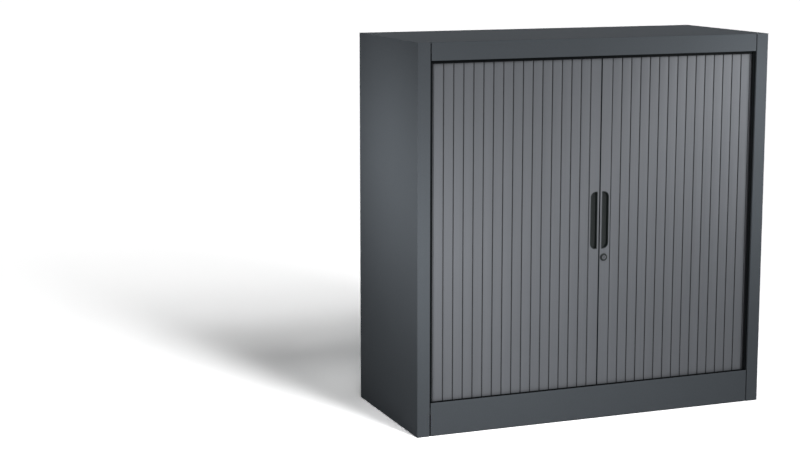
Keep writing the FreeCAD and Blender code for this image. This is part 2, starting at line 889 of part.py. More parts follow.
def grip_outline(inset):
    """The grip seen from the front: rounded towards the slats, straight towards the seam."""
    near = size.profile_width - size.grip_seam_edge - size.grip_width + inset
    far = size.profile_width - size.grip_seam_edge - inset
    low = size.grip_middle - size.grip_height / 2 + inset
    high = size.grip_middle + size.grip_height / 2 - inset
    corner = size.grip_corner - inset
    return [
        line(far, low), line(far, high), line(near + corner, high),
        arc(near, high - corner, (near + corner, high - corner), corner, True),
        line(near, low + corner),
        arc(near + corner, low, (near + corner, low + corner), corner, True),
    ]


lock_height = size.grip_middle - size.grip_height / 2 - size.lock_drop
hook_slot_low = lock_height - size.hook_reach - size.hook_slot_play
hook_slot_high = lock_height + size.hook_arm / 2 + size.hook_slot_play
hook_front = curtain_line - size.slat_face + size.lock_barrel_length + size.lock_play
hook_back = hook_front + size.hook_thickness


def hook_slot():
    """The window through a profile's seam side, in Y and Z, that the hook swings through."""
    return rectangle(hook_front - size.hook_slot_play, hook_back + size.hook_slot_play,
                     hook_slot_low, hook_slot_high)


def leading_profile(label, pivot, direction):
    body = new_body(label)
    pad(body, "XY", profile_bottom, profile_top, moved(profile_section(), pivot, curtain_line, direction))
    face = curtain_line - size.slat_face
    grip_hole = moved(grip_outline(size.grip_rim - size.grip_play), pivot, zero, direction)
    pocket(body, "XZ", face - size.overrun, face + size.profile_face + size.overrun, grip_hole)
    edge = pivot + direction * size.profile_width
    inner = edge - direction * (size.profile_wall + size.overrun)
    outer = edge + direction * size.overrun
    low, high = (inner, outer) if direction > 0 else (outer, inner)
    pocket(body, "YZ", low, high, hook_slot())
    return body


def glide(label, pivot, direction):
    """A plug in the foot of the profile with a tongue that runs in the lower track."""
    body = new_body(label)
    play = size.glide_play
    plug = rectangle(leg_near + size.profile_wall + play, size.profile_width - size.profile_wall - play,
                     size.profile_face - size.slat_face + play,
                     size.profile_depth - size.slat_face - size.profile_wall - play)
    pad(body, "XY", profile_bottom, profile_bottom + size.glide_plug,
        moved(plug, pivot, curtain_line, direction))
    tongue = rectangle(leg_near + size.glide_end, size.profile_width - size.glide_end,
                       -size.glide_tongue / 2, size.glide_tongue / 2)
    pad(body, "XY", base_top + size.track_wall + play, profile_bottom,
        moved(tongue, pivot, curtain_line, direction))
    return body


def grip(label, pivot, direction):
    """A moulded shell: a rim on the profile's face and a pocket for the fingers."""
    body = new_body(label)
    face = curtain_line - size.slat_face
    floor = face - size.grip_rim_rise + size.grip_depth
    rim, shell, hollow = (
        moved(grip_outline(inset), pivot, zero, direction)
        for inset in (zero, size.grip_rim, size.grip_rim + size.grip_wall)
    )
    pad(body, "XZ", face - size.grip_rim_rise, face, rim)
    pad(body, "XZ", face, floor + size.grip_wall, shell)
    pocket(body, "XZ", face - size.grip_rim_rise - size.overrun, floor, hollow)
    return body


def strike_plate():
    """A steel plate behind the left profile's seam side, which the hook catches."""
    body = new_body("strike_plate")
    outside = left_pivot + size.profile_width - size.profile_wall
    near, far = profile_back - size.profile_wall, curtain_line - size.slat_face + size.profile_face
    outline = rectangle(far, near, hook_slot_low - size.strike_margin, hook_slot_high + size.strike_margin)
    pad(body, "YZ", outside - size.strike_plate, outside, outline)
    pocket(body, "YZ", outside - size.strike_plate - size.overrun, outside + size.overrun, hook_slot())
    return body


# The lock. Its pieces are turned about +Z at the origin, then laid along +Y at the lock's place

lock_x = right_pivot - size.profile_width + size.lock_seam_edge
lock_y = curtain_line - size.slat_face
LAID_BACK = Rotation(Vector(*X_AXIS), -90)


def laid(source, label):
    """The piece with its own +Z along +Y, its origin on the lock's axis at the profile's face."""
    piece = doc.addObject("Part::Feature", label)
    piece.Label = label
    piece.Shape = source.Shape.copy()
    piece.Placement = Placement(Vector(lock_x.value, lock_y.value, lock_height.value), LAID_BACK)
    for axis, length in zip("xyz", (lock_x, lock_y, lock_height)):
        bind(piece, f"Placement.Base.{axis}", length)
    return piece


def lock_housing():
    """The collar in front of the face and the barrel through it, with a bore for the plug."""
    ring, rise, chamfer = size.lock_ring_radius, size.lock_ring_rise, size.lock_ring_chamfer
    bore = size.plug_radius + size.lock_play
    return revolve("lock_housing_turned", [
        line(bore, -rise), line(ring - chamfer, -rise), line(ring, -rise + chamfer), line(ring, zero),
        line(size.lock_barrel_radius, zero), line(size.lock_barrel_radius, size.lock_barrel_length),
        line(bore, size.lock_barrel_length),
    ])


def lock_nut():
    """A hexagon nut that clamps the housing from inside the profile."""
    body = new_body("lock_nut_flat")
    radius = size.lock_nut_flats / (2 * math.cos(math.pi / 6))
    corners = []
    for number in range(6):
        corners.append(line(*on_circle(zero, radius, number * math.pi / 3)))
    hole = circle(zero, zero, size.lock_barrel_radius + size.screw_play)
    pad(body, "XY", size.profile_face, size.profile_face + size.lock_nut_thickness, corners, hole)
    return body


def lock_plug():
    """The turning plug with its key slot in front and a drilled stud for the hook behind."""
    radius, front_end = size.plug_radius, -size.lock_ring_rise - size.plug_rise
    shoulder = size.lock_barrel_length + size.lock_play
    stud_end = shoulder + size.hook_thickness
    bore = size.hook_screw_shank + size.screw_play
    bore_end = stud_end - size.hook_screw_length - size.screw_play
    body = revolve("lock_plug_turned", [
        line(zero, front_end), line(radius, front_end), line(radius, shoulder),
        line(size.stud_radius, shoulder), line(size.stud_radius, stud_end), line(bore, stud_end),
        line(bore, bore_end), line(zero, bore_end),
    ])
    slot = rectangle(-size.key_slot_width / 2, size.key_slot_width / 2,
                     -size.key_slot_height / 2, size.key_slot_height / 2)
    pocket(body, "XY", front_end - size.overrun, front_end + size.key_slot_depth, slot)
    return body


def lock_hook():
    """The arm hangs down when the lock is open, with a nose that points towards the seam."""
    body = new_body("lock_hook")
    half, reach = size.hook_arm / 2, size.hook_reach
    tip, nose_top = -reach, size.hook_nose - reach
    outline = [
        line(-half - size.hook_nose_rise, tip), line(half, tip), line(half, zero),
        arc(-half, zero, (zero, zero), half, True), line(-half, nose_top),
        line(-half - size.hook_nose_rise, nose_top),
    ]
    hole = circle(zero, zero, size.stud_radius + size.screw_play)
    pad(body, "XZ", hook_front, hook_back,
        moved(outline, lock_x, lock_height), moved(hole, lock_x, lock_height))
    return body


def hook_screw():
    """The screw that holds the hook on the plug's stud, its head behind the hook."""
    seat = size.lock_barrel_length + size.lock_play + size.hook_thickness
    end = seat - size.hook_screw_length
    shank, head = size.hook_screw_shank, size.hook_screw_radius
    return revolve("hook_screw_turned", [
        line(zero, end), line(shank, end), line(shank, seat), line(head, seat),
        line(head, seat + size.hook_screw_head), line(zero, seat + size.hook_screw_head),
    ])


# Shelves, clips, feet and caps


def shelf_bottom(number):
    """The level of the shelf's flanges on clips in the slots of that number."""
    return slot_level(number) + size.clip_thickness / 2


def shelf(label, number):
    """A tray turned down, with a hem inside its front and rear flanges and clear of the round rear corners."""
    body = new_body(label)
    low = shelf_bottom(number)
    high = low + size.shelf_flange
    half = lining_face - size.shelf_side_gap
    y_front = front_bend_y + size.sheet + size.shelf_end_gap
    y_rear = rear_lining_front - size.shelf_end_gap
    path = [
        (y_front + size.shelf_hem, low), (y_front, low), (y_front, high), (y_rear, high),
        (y_rear, low), (y_rear - size.shelf_hem, low),
    ]
    pad(body, "YZ", -half, half, folded(path, -1))
    for x_low, x_high in ((-half, size.sheet - half), (half - size.sheet, half)):
        flange = rectangle(x_low, x_high, y_front + size.bend_radius, y_rear - size.bend_radius)
        pad(body, "XY", low, high - size.sheet / 2, flange)
    notch_x, notch_y = bend_start - size.shelf_notch_gap, rear_bend_y - size.shelf_notch_gap
    notches = [
        rectangle(x_low, x_high, notch_y, y_rear + size.overrun)
        for x_low, x_high in ((-half - size.overrun, -notch_x), (notch_x, half + size.overrun))
    ]
    pocket(body, "XY", low - size.overrun, high + size.overrun, *notches)
    return body


def shelf_clip():
    """A bent steel clip: hook behind the wall, ledge in front, leg below. Its slot is at z = 0."""
    body = new_body("shelf_clip")
    half = size.clip_thickness / 2
    hook_x = -lining_outside - size.clip_play
    face = size.clip_play / 2 - lining_face
    ledge = size.clip_ledge - lining_face
    outline = [
        line(hook_x - size.clip_hook_thickness, -half), line(face, -half),
        line(face, -half - size.clip_leg), line(face + size.clip_hook_thickness, -half - size.clip_leg),
        line(face + size.clip_hook_thickness, -half), line(ledge, -half), line(ledge, half),
        line(hook_x, half), line(hook_x, half + size.clip_hook),
        line(hook_x - size.clip_hook_thickness, half + size.clip_hook),
    ]
    half_width_of_clip = size.slot_width / 2 - size.clip_play
    pad(body, "XZ", -half_width_of_clip, half_width_of_clip, outline)
    return body


def levelling_foot():
    """A round foot on a threaded spindle with a key socket in its head, standing on z = 0."""
    foot, chamfer, thick = size.foot_radius, size.foot_chamfer, size.foot_thickness
    spindle, top = size.spindle_radius, size.spindle_top
    socket = size.key_socket_radius
    return revolve("levelling_foot", [
        line(zero, zero), line(foot, zero), line(foot, thick - chamfer), line(foot - chamfer, thick),
        line(spindle, thick), line(spindle, top), line(socket, top), line(socket, top - size.key_socket_depth),
        line(zero, top - size.key_socket_depth),
    ])


def levelling_sleeve():
    """The threaded sleeve under the base, its top at z = 0."""
    bore = size.spindle_radius + size.spindle_play
    return revolve("levelling_sleeve", [
        line(bore, -size.sleeve_length), line(size.sleeve_radius, -size.sleeve_length),
        line(size.sleeve_radius, zero), line(bore, zero),
    ])


def hole_cap():
    """A cap over the key hole in the floor: a low head on the floor and a skirt in the hole."""
    skirt = size.cap_hole_radius - size.cap_play
    head = size.cap_hole_radius + size.cap_rim
    return revolve("hole_cap", [
        line(zero, zero), line(skirt - size.cap_wall, zero), line(skirt - size.cap_wall, -size.cap_skirt),
        line(skirt, -size.cap_skirt), line(skirt, zero), line(head, zero),
        line(head - size.cap_rim / 2, size.cap_head), line(zero, size.cap_head),
    ])


# Assembly of the nodes

nodes = []

left_side = side_panel()
nodes += [left_side, mirrored(left_side, "right_side_panel", X_AXIS)]
nodes += [top_panel(), top_stiffener(), ceiling_panel(), base_panel(), plinth_panel(), back_panel()]
nodes += [rear_lining(), floor_panel(), floor_rails()]
left_strip = rear_corner_strip()
nodes.append(group("rear_corner_strips", [left_strip, mirrored(left_strip, "right_corner_strip", X_AXIS)]))
left_inner = inner_side()
nodes += [left_inner, mirrored(left_inner, "right_inner_side", X_AXIS)]

for side, name in ((-1, "left"), (1, "right")):
    track = lower_track(side, f"lower_{name}_track")
    nodes += [track, mirrored(track, f"upper_{name}_track", Z_AXIS, middle_level)]

plugs = [end_plug(-1, "left_plug"), end_plug(1, "right_plug")]
raised = [mirrored(plug, f"{plug.Label}_raised", Z_AXIS, middle_level) for plug in plugs]
nodes.append(group("track_end_plugs", plugs + raised))

shelves = {label: shelf(label, number) for label, number in shelf_slots.items()}
nodes += shelves.values()

for name, pivot, direction in (("left", left_pivot, 1), ("right", right_pivot, -1)):
    nodes.append(leading_profile(f"{name}_leading_profile", pivot, direction))
    nodes.append(grip(f"{name}_grip", pivot, direction))
    foot_glide = glide(f"{name}_foot_glide", pivot, direction)
    head_glide = mirrored(foot_glide, f"{name}_head_glide", Z_AXIS, middle_level)
    nodes.append(group(f"{name}_glides", [foot_glide, head_glide]))
nodes += [strike_plate(), lock_hook()]

# A hole through the right profile's face for the lock's barrel
right_profile = next(node for node in nodes if node.Label == "right_leading_profile")
barrel_hole = circle(lock_x, lock_height, size.lock_barrel_radius + size.screw_play)
pocket(right_profile, "XZ", lock_y - size.overrun, lock_y + size.profile_face + size.overrun, barrel_hole)

templates = {
    name: make()
    for name, make in {
        "slat": slat, "clip": shelf_clip, "foot": levelling_foot, "sleeve": levelling_sleeve,
        "cap": hole_cap, "screw": track_screw, "housing": lock_housing, "nut": lock_nut,
        "plug": lock_plug, "hook_screw": hook_screw,
    }.items()
}
doc.recompute()

slat_shape = templates["slat"].Shape
left_start, right_start = -bend_start.value, bend_start.value
flat_y = curtain_line.value
left_flat = [(left_start + pitch.value * number, flat_y, 0) for number in range(left_count)]
right_flat = [(right_start - pitch.value * number, flat_y, 0) for number in range(right_count)]
mirror_slat = slat_shape.mirror(Vector(0, 0, 0), Vector(*X_AXIS))
left_tail = curtain("left_curtain_tail", slat_shape, tail_places())
nodes += [
    curtain("left_curtain", slat_shape, left_flat), curtain("right_curtain", mirror_slat, right_flat),
    left_tail, mirrored(left_tail, "right_curtain_tail", X_AXIS),
]

for label, number in shelf_slots.items():
    level = slot_level(number)
    clips = placed(templates["clip"], f"{label}_left_clips", [(zero, y, level) for y in slot_columns])
    nodes.append(group(f"{label}_clips", [clips, mirrored(clips, f"{label}_right_clips", X_AXIS)]))

places = foot_places()
nodes.append(placed(templates["sleeve"], "levelling_sleeves",
                    [(x, y, base_top - size.sheet) for x, y in places.values()]))
nodes.append(placed(templates["cap"], "floor_hole_caps", [(x, y, floor_top) for x, y in places.values()]))
for name, (x, y) in places.items():
    nodes.append(placed(templates["foot"], f"levelling_foot_{name}", [(x, y, zero)]))

screw_level = base_top + size.track_wall
screws = placed(templates["screw"], "lower_track_screws",
                [(x, y, screw_level) for side in (-1, 1) for x, y in screw_places(side)])
nodes.append(group("track_screws", [screws, mirrored(screws, "upper_track_screws", Z_AXIS, middle_level)]))

nodes += [
    laid(templates["housing"], "lock_housing"), laid(templates["nut"], "lock_nut"),
    laid(templates["plug"], "lock_plug"), laid(templates["hook_screw"], "hook_screw"),
]
doc.recompute()

# Every object must have been built, and every cut must have removed something

for item in doc.Objects:
    if "Invalid" in item.State or "Error" in item.State:
        raise RuntimeError(f"{item.Label} was not built: {item.State}")
for cut in cuts:
    before = cut.BaseFeature or cut.Originals[0]
    if cut.Shape.Volume >= before.Shape.Volume:
        raise RuntimeError(f"{cut.Label} cut nothing")
for node in nodes:
    if node.Shape.isNull() or not node.Shape.isValid():
        raise RuntimeError(f"{node.Label} is not a valid shape")

os.makedirs("parts", exist_ok=True)
for node in nodes:
    node.Shape.exportStep(f"parts/{node.Label}.step")
print(f"{len(nodes)} nodes, {left_count} and {right_count} flat slats, pitch {pitch.value:.3f} mm")
print(f"bend starts at {bend_start.value:.2f} mm, seam at {seam.value:.2f} mm")
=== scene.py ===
import json
import math

import bmesh
import bpy
from mathutils import Matrix, Quaternion, Vector


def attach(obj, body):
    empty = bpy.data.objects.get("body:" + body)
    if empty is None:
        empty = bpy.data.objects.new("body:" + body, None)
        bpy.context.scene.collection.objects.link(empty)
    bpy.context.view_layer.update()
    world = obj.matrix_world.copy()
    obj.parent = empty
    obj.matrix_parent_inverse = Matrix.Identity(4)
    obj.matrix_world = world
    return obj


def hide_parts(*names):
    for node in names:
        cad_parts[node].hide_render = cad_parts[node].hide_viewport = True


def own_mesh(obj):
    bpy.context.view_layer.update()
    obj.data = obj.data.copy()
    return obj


# A steel cupboard with two curtains of upright slats that slide round its front corners. Z is up, X to the
# right, the front at -Y and the origin on the floor under the middle. The cupboard's sizes and places are in
# millimetres, and those of the floor, the lamps and the camera are in metres.

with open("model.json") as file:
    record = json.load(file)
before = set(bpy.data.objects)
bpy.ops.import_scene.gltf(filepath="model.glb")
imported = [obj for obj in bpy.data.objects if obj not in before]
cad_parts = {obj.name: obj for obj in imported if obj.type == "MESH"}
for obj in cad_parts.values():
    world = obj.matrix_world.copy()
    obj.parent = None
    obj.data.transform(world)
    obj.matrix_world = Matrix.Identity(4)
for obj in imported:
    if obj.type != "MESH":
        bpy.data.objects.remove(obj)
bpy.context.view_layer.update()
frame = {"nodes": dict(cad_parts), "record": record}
nodes = frame["nodes"]

MM = 0.001
CLOSE = 0.01 * MM        # points nearer to each other than this are one point

# Sizes that the pieces made here share with the solids

FACE = -198.0            # the face of the curtains and of their leading profiles
POST_EDGE = 465.5        # from the middle to the edge of a front post
PLINTH_TOP, RAIL_FOOT = 87.0, 954.0

SLAT_RISE = 4.5          # from the hinges to the face in front of them
HINGE_LINE = FACE + SLAT_RISE
BEND_START = 453.0       # from the middle to where the front corner's bend begins
BEND_RADIUS = 38.8
BEND_Y = HINGE_LINE + BEND_RADIUS

PITCH = 27.2             # from hinge to hinge
LEFT_SLATS, RIGHT_SLATS, TAIL_SLATS = 16, 15, 2
SLAT_FOOT, SLAT_HEAD = 77.0, 968.5
SLAT_EDGE = 1.2          # from a hinge to the nearest edge of the face
SLAT_CROWN = 0.8         # how far the face's edges lie behind its middle
SLAT_INSIDE = 2.6        # from the hinges to the back of the face's wall
EDGE_ROUND = 0.9
BEAD, HINGE_PLAY, SOCKET_WALL = 1.1, 0.3, 0.9
WEB_HALF, LEG, LEG_GAP = 0.45, 1.1, 0.9
MOUTH_FRONT, MOUTH_BACK = -21.7, 62.8  # the lips of the socket's mouth, in degrees about the next hinge

LEFT_PIVOT, RIGHT_PIVOT = -17.8, 45.0  # the hinges between each curtain and its leading profile
GRIP_FOOT, GRIP_HEAD = 451.0, 602.0
GRIP_SLAT_EDGE, GRIP_SEAM_EDGE = 5.0, 25.0  # from the profile's hinge
GRIP_ROUND, GRIP_SEAM_ROUND = 15.0, 1.6
GRIP_STRAIGHT = 0.6      # the least that stays straight of a grip's end, between its two rounds

LOCK = Vector((27.5, FACE, 428.0))
LOCK_RIM, LOCK_RISE, LOCK_BORE = 10.0, 2.0, 5.8
LOCK_BARREL, LOCK_BARREL_LENGTH = 8.0, 7.0


# Colours and nodes

NOISE_SPAN = {"From Min": 0.3, "From Max": 0.7}  # nearly all values of a noise pattern lie in it


def linear(colour):
    """The linear red, green, blue and alpha of an sRGB hex colour."""
    channels = [int(colour[place:place + 2], 16) / 255 for place in (1, 3, 5)]
    return [c / 12.92 if c <= 0.04045 else ((c + 0.055) / 1.055) ** 2.4 for c in channels] + [1.0]


def per_metre(millimetres):
    """The scale of a pattern that repeats once in so many millimetres."""
    return 1000 / millimetres


def add(tree, kind, sockets=None, **settings):
    """Adds a node with its settings. Each socket is set to a value, or linked to an output or to the first
    output of a node."""
    made = tree.nodes.new(f"ShaderNode{kind}")
    for name, value in settings.items():
        setattr(made, name, value)
    for socket, value in (sockets or {}).items():
        if isinstance(value, bpy.types.Node):
            value = value.outputs[0]
        if isinstance(value, bpy.types.NodeSocket):
            tree.links.new(value, made.inputs[socket])
        else:
            made.inputs[socket].default_value = value
    return made


def new_material(name):
    """An empty material and its node tree."""
    made = bpy.data.materials.new(name)
    made.use_nodes = True
    made.node_tree.nodes.clear()
    return made, made.node_tree


# Materials


def powder_coat(name, colour, roughness):
    """Fine-texture polyester powder coat on steel sheet: an even, dry satin whose tiny orange peel breaks up
    the light, a little paler where the powder draws thin along folded edges, with painted shade in its seams."""
    made, tree = new_material(name)
    place = add(tree, "TexCoord").outputs["Object"]
    # the peel is 0.8 mm across, and is drawn 2.6 mm across because a pixel is 2.8 mm
    peel = add(tree, "TexNoise", {"Vector": place, "Scale": per_metre(2.6), "Detail": 3, "Roughness": 0.6})
    cloud = add(tree, "TexNoise", {"Vector": place, "Scale": per_metre(140), "Detail": 2})
    grit = add(tree, "TexVoronoi", {"Vector": place, "Scale": per_metre(4)})
    round_edge = add(tree, "Bevel", {"Radius": 0.6 * MM}, samples=6)
    # painted shade: the colour is darkened in seams and creases, where less light reaches
    seam = add(tree, "AmbientOcclusion", {"Distance": 5 * MM}, samples=6).outputs["AO"]
    painted_seam_shade = add(tree, "MapRange", {"Value": seam, "From Min": 0.15, "From Max": 0.8,
                                  "To Min": 0.08, "To Max": 1.0})
    flat = add(tree, "NewGeometry").outputs["Normal"]
    facing = add(tree, "VectorMath", {0: round_edge, 1: flat}, operation="DOT_PRODUCT").outputs["Value"]
    thin = add(tree, "MapRange", {"Value": facing, "From Min": 0.995, "From Max": 0.9,
                                  "To Min": 0.0, "To Max": 0.10})
    fleck = add(tree, "MapRange", {"Value": peel, **NOISE_SPAN, "To Min": 0.955, "To Max": 1.045})
    drift = add(tree, "MapRange", {"Value": cloud, **NOISE_SPAN, "To Min": -0.015, "To Max": 0.015})
    shade = fleck
    for part in (drift, thin):
        shade = add(tree, "Math", {0: shade, 1: part}, operation="ADD")
    shade = add(tree, "Math", {0: shade, 1: painted_seam_shade}, operation="MULTIPLY")
    paint = add(tree, "HueSaturation", {"Color": linear(colour), "Value": shade})
    gloss = add(tree, "MapRange", {"Value": grit, "From Min": 0.0, "From Max": 0.8,
                                   "To Min": roughness - 0.04, "To Max": roughness + 0.05})
    bump = add(tree, "Bump", {"Height": peel, "Strength": 0.35, "Distance": 0.09 * MM, "Normal": round_edge})
    surface = add(tree, "BsdfPrincipled", {"Base Color": paint, "Roughness": gloss, "Normal": bump,
                                           "IOR": 1.5, "Specular IOR Level": 0.05})
    add(tree, "OutputMaterial", {"Surface": surface})
    return made


def extruded_plastic(name, colour):
    """Rigid plastic extruded through a die: a silky matte face with faint die lines along its length. Painted
    shade darkens the hinge grooves strongly and, more faintly, the face wherever a slat passes close by
    another piece."""
    made, tree = new_material(name)
    place = add(tree, "TexCoord").outputs["Object"]
    # painted shade: the colour is darkened deep in the hinge grooves and near other pieces, where less light
    # reaches
    painted_groove_shade = add(tree, "AmbientOcclusion", {"Distance": 3 * MM}, samples=8, only_local=True).outputs["AO"]
    painted_groove_shade = add(tree, "Math", {0: painted_groove_shade, 1: 4.0}, operation="POWER")
    painted_contact_shade = add(tree, "AmbientOcclusion", {"Distance": 14 * MM}, samples=8).outputs["AO"]
    painted_contact_shade = add(tree, "MapRange", {"Value": painted_contact_shade, "From Min": 0.3, "From Max": 0.95,
                                    "To Min": 0.62, "To Max": 1.0})
    painted_shade = add(tree, "Math", {0: painted_groove_shade, 1: painted_contact_shade}, operation="MULTIPLY")
    # die lines are 0.5 mm wide, and are drawn 2.2 mm wide so that they show
    along = add(tree, "Mapping", {"Vector": place, "Scale": (per_metre(2.2), per_metre(2.2), per_metre(900))})
    lines = add(tree, "TexNoise", {"Vector": along, "Scale": 1, "Detail": 2, "Roughness": 0.5})
    grain = add(tree, "TexNoise", {"Vector": place, "Scale": per_metre(3.2), "Detail": 2})
    cloud = add(tree, "TexNoise", {"Vector": place, "Scale": per_metre(180), "Detail": 1})
    # each slat is its own length of the extrusion, and these differ a little in tone
    across = add(tree, "Mapping", {"Vector": place, "Scale": (per_metre(PITCH), 0.0, 0.0)})
    batch = add(tree, "TexNoise", {"Vector": across, "Scale": 1, "Detail": 1})
    tone = add(tree, "MapRange", {"Value": batch, **NOISE_SPAN, "To Min": -0.035, "To Max": 0.035})
    streak = add(tree, "MapRange", {"Value": lines, **NOISE_SPAN, "To Min": 0.965, "To Max": 1.035})
    drift = add(tree, "MapRange", {"Value": cloud, **NOISE_SPAN, "To Min": -0.012, "To Max": 0.012})
    speck = add(tree, "MapRange", {"Value": grain, **NOISE_SPAN, "To Min": -0.012, "To Max": 0.012})
    shade = streak
    for part in (drift, speck, tone):
        shade = add(tree, "Math", {0: shade, 1: part}, operation="ADD")
    shade = add(tree, "Math", {0: shade, 1: painted_shade}, operation="MULTIPLY")
    tint = add(tree, "HueSaturation", {"Color": linear(colour), "Value": shade})
    gloss = add(tree, "MapRange", {"Value": lines, **NOISE_SPAN, "To Min": 0.46, "To Max": 0.54})
    relief = add(tree, "Bump", {"Height": lines, "Strength": 0.18, "Distance": 0.05 * MM})
    bump = add(tree, "Bump", {"Height": grain, "Strength": 0.12, "Distance": 0.05 * MM, "Normal": relief})
    surface = add(tree, "BsdfPrincipled", {"Base Color": tint, "Roughness": gloss, "Normal": bump,
                                           "IOR": 1.52, "Specular IOR Level": 0.3})
    add(tree, "OutputMaterial", {"Surface": surface})
    return made


def moulded_plastic(name, colour, roughness, grain_mm, shine=0.25):
    """Moulded plastic with a spark-eroded grain: an even matte that turns silky on rounded edges."""
    made, tree = new_material(name)
    place = add(tree, "TexCoord").outputs["Object"]
    grain = add(tree, "TexVoronoi", {"Vector": place, "Scale": per_metre(grain_mm)}, feature="SMOOTH_F1")
    cloud = add(tree, "TexNoise", {"Vector": place, "Scale": per_metre(30), "Detail": 2})
    round_edge = add(tree, "Bevel", {"Radius": 0.3 * MM}, samples=4)
    shade = add(tree, "MapRange", {"Value": cloud, **NOISE_SPAN, "To Min": 0.94, "To Max": 1.06})
    tint = add(tree, "HueSaturation", {"Color": linear(colour), "Value": shade})
    gloss = add(tree, "MapRange", {"Value": cloud, **NOISE_SPAN,
                                   "To Min": roughness - 0.04, "To Max": roughness + 0.04})
    bump = add(tree, "Bump", {"Height": grain, "Strength": 0.3, "Distance": 0.08 * MM, "Normal": round_edge})
    surface = add(tree, "BsdfPrincipled", {"Base Color": tint, "Roughness": gloss, "Normal": bump,
                                           "IOR": 1.5, "Specular IOR Level": shine})
    add(tree, "OutputMaterial", {"Surface": surface})
    return made


def zinc_plate(name):
    """Bright zinc plating with a blue passivation: a pale metal, cloudy, faintly blue and yellow in turns."""
    made, tree = new_material(name)
    place = add(tree, "TexCoord").outputs["Object"]
    cloud = add(tree, "TexNoise", {"Vector": place, "Scale": per_metre(12), "Detail": 4, "Roughness": 0.6})
    drawn = add(tree, "Mapping", {"Vector": place, "Scale": (per_metre(1.2), per_metre(40), per_metre(40))})
    scratch = add(tree, "TexNoise", {"Vector": drawn, "Scale": 1, "Detail": 3})
    tint = add(tree, "ValToRGB", {"Fac": cloud})
    for end, position, colour in zip(tint.color_ramp.elements, (0.35, 0.68), ("#A9B0B8", "#C6C5BC")):
        end.position = position
        end.color = linear(colour)
    gloss = add(tree, "MapRange", {"Value": scratch, **NOISE_SPAN, "To Min": 0.28, "To Max": 0.44})
    round_edge = add(tree, "Bevel", {"Radius": 0.3 * MM}, samples=4)
    bump = add(tree, "Bump", {"Height": scratch, "Strength": 0.1, "Distance": 0.03 * MM,
                              "Normal": round_edge})
    surface = add(tree, "BsdfPrincipled", {"Base Color": tint, "Metallic": 1.0, "Roughness": gloss,
                                           "Normal": bump})
    add(tree, "OutputMaterial", {"Surface": surface})
    return made


def nickel_plate(name):
    """Smoked satin nickel on a turned zinc casting: a mid-grey metal with rings from the lathe."""
    made, tree = new_material(name)
    place = add(tree, "TexCoord").outputs["Object"]
    centred = add(tree, "Mapping", {"Vector": place, "Location": tuple(-LOCK * MM)})
    # the tool marks are 0.1 mm apart, and are drawn 4.4 mm apart so that they show; at scale 1 a wave
    # texture repeats once in tau / 20
    rings = add(tree, "TexWave", {"Vector": centred, "Scale": per_metre(4.4) * math.tau / 20,
                                  "Distortion": 1.5, "Detail": 1},
                wave_type="RINGS", rings_direction="Y").outputs["Fac"]
    gloss = add(tree, "MapRange", {"Value": rings, "To Min": 0.2, "To Max": 0.34})
    shade = add(tree, "MapRange", {"Value": rings, "To Min": 0.94, "To Max": 1.04})
    tint = add(tree, "HueSaturation", {"Color": linear("#64666A"), "Value": shade})
    round_edge = add(tree, "Bevel", {"Radius": 0.3 * MM}, samples=4)
    bump = add(tree, "Bump", {"Height": rings, "Strength": 0.1, "Distance": 0.02 * MM, "Normal": round_edge})
    surface = add(tree, "BsdfPrincipled", {"Base Color": tint, "Metallic": 1.0, "Roughness": gloss,
                                           "Normal": bump})
    add(tree, "OutputMaterial", {"Surface": surface})
    return made


finishes = {
    "graphite_paint": powder_coat("powder_coat_outside", "#585D62", 0.8),
    "inner_paint": powder_coat("powder_coat_inside", "#585D62", 0.8),
    "slat_plastic": extruded_plastic("extruded_slat_plastic", "#696C71"),
    "black_plastic": moulded_plastic("black_grip_moulding", "#1B2121", 0.5, 1.6),
    "zinc_steel": zinc_plate("bright_zinc_plate"),
    "chrome_lock": nickel_plate("satin_nickel_plate"),
    "track_plastic": moulded_plastic("black_slide_moulding", "#0D1012", 0.7, 2.4, shine=0.05),
    "cap_plastic": moulded_plastic("grey_cap_moulding", "#3E4246", 0.46, 1.8),
}

for part in frame["record"]["subparts"]:
    mesh = nodes[part["node"]].data
    mesh.materials.clear()
    mesh.materials.append(finishes[part["material_slot"]])


# Shaping


def points_of(made):
    """The vertices among what an operator made."""
    return [item for item in made if isinstance(item, bmesh.types.BMVert)]


def step(bm, vertex, x, y):
    """A straight edge of a section, from a vertex to a point in millimetres. Returns the new end."""
    end = bmesh.ops.extrude_vert_indiv(bm, verts=[vertex])["verts"][0]
    end.co = Vector((x, y, 0)) * MM
    return end


def sweep(bm, vertex, centre_x, degrees, steps):
    """An arc of a section about a centre on the hinge line. Returns the new end."""
    made = bmesh.ops.spin(bm, geom=[vertex], cent=Vector((centre_x, 0, 0)) * MM, axis=(0, 0, 1),
                          angle=math.radians(degrees), steps=steps)
    return points_of(made["geom_last"])[0]


def piece(bm, name, body, slot, smooth_degrees=40):
    """Makes the mesh an object that rides a body and takes its finish from a slot. Edges that turn by more
    than so many degrees stay sharp."""
    bmesh.ops.recalc_face_normals(bm, faces=bm.faces)
    mesh = bpy.data.meshes.new(name)
    bm.to_mesh(mesh)
    bm.free()
    mesh.materials.append(finishes[slot])
    mesh.set_sharp_from_angle(angle=math.radians(smooth_degrees))
    made = bpy.data.objects.new(name, mesh)
    bpy.context.scene.collection.objects.link(made)
    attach(made, body)
    return made


# Slats: the section is traced from the face round to the back, with the tail hinge at the origin

POCKET = BEAD + HINGE_PLAY
SOCKET = POCKET + SOCKET_WALL


def about_next_hinge(radius, degrees):
    """The point at a radius and an angle from the next hinge, in millimetres."""
    angle = math.radians(degrees)
    return PITCH + radius * math.cos(angle), radius * math.sin(angle)


